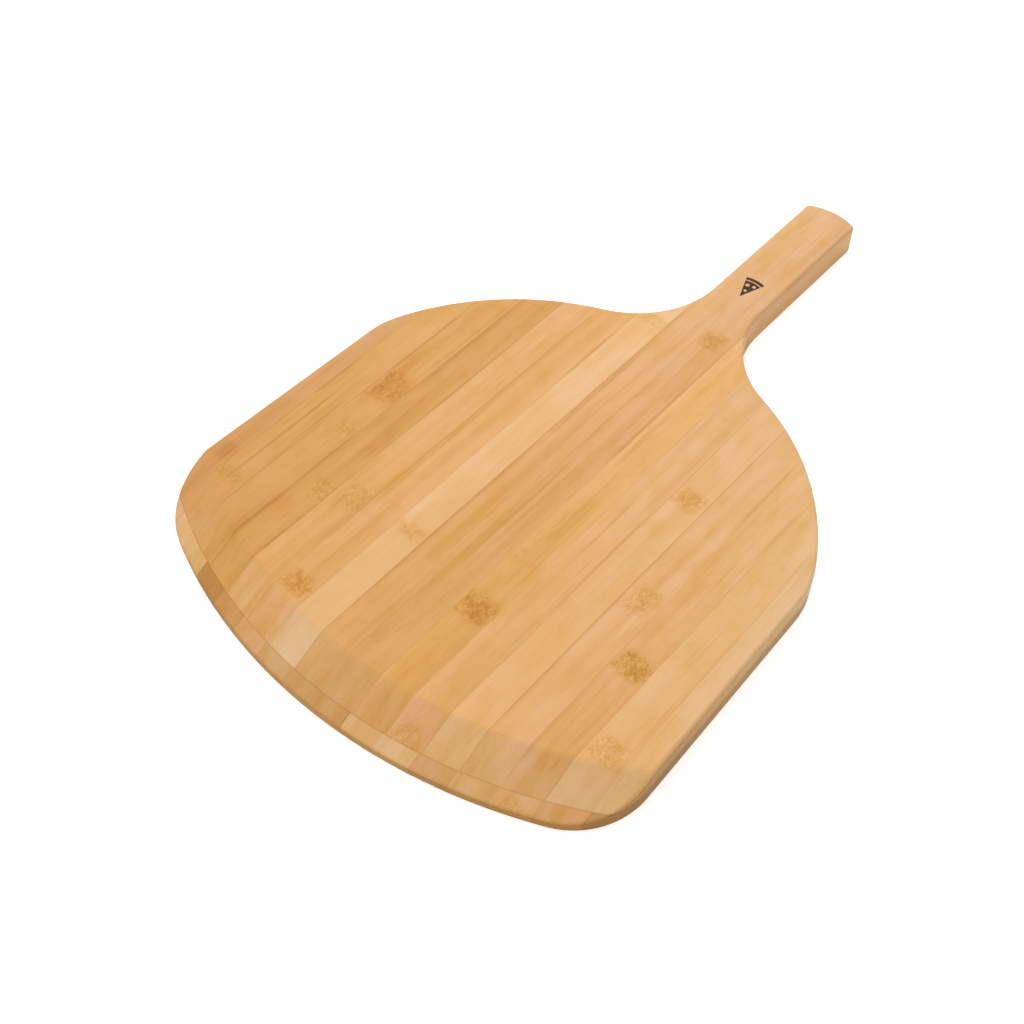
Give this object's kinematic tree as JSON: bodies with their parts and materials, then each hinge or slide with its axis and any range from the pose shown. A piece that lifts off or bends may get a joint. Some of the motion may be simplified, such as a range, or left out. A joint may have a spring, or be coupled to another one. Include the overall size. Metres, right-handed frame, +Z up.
{
  "type": "pizza peel",
  "caption": "Flat laminated bamboo pizza peel: a wide blade with rounded corners and a bevelled, bowed front edge, narrowing through curved shoulders to a short straight handle.",
  "frame": {"origin": "centre of the underside's bounding box, on the surface that the peel lies on", "axes": "+Z up out of the top face, +Y from the bevelled front edge towards the handle's end, +X across the blade"},
  "size_m": [0.305, 0.467, 0.02],
  "materials": {
    "bamboo_cream": "satin, oiled, palest strips",
    "bamboo_honey": "satin, oiled, middle tone strips",
    "bamboo_caramel": "satin, oiled, darker strips",
    "bamboo_brown": "satin, oiled, darkest strips"
  },
  "bodies": {
    "root": {"upper_strip_01": "bamboo_caramel", "upper_strip_02": "bamboo_caramel", "upper_strip_03": "bamboo_honey", "upper_strip_04": "bamboo_caramel", "upper_strip_05": "bamboo_honey", "upper_strip_06": "bamboo_honey", "upper_strip_07": "bamboo_cream", "upper_strip_08": "bamboo_honey", "upper_strip_09": "bamboo_honey", "upper_strip_10": "bamboo_caramel", "upper_strip_11": "bamboo_honey", "upper_strip_12": "bamboo_honey", "upper_strip_13": "bamboo_cream", "upper_strip_14": "bamboo_honey", "upper_strip_15": "bamboo_honey", "upper_strip_16": "bamboo_honey", "lower_strip_01": "bamboo_honey", "lower_strip_02": "bamboo_honey", "lower_strip_03": "bamboo_honey", "lower_strip_04": "bamboo_brown", "lower_strip_05": "bamboo_caramel", "lower_strip_06": "bamboo_honey", "lower_strip_07": "bamboo_caramel", "lower_strip_08": "bamboo_caramel", "lower_strip_09": "bamboo_brown", "lower_strip_10": "bamboo_cream", "lower_strip_11": "bamboo_cream", "lower_strip_12": "bamboo_caramel", "lower_strip_13": "bamboo_honey", "lower_strip_14": "bamboo_honey", "lower_strip_15": "bamboo_caramel", "lower_strip_16": "bamboo_honey"}
  },
  "joints": []
}
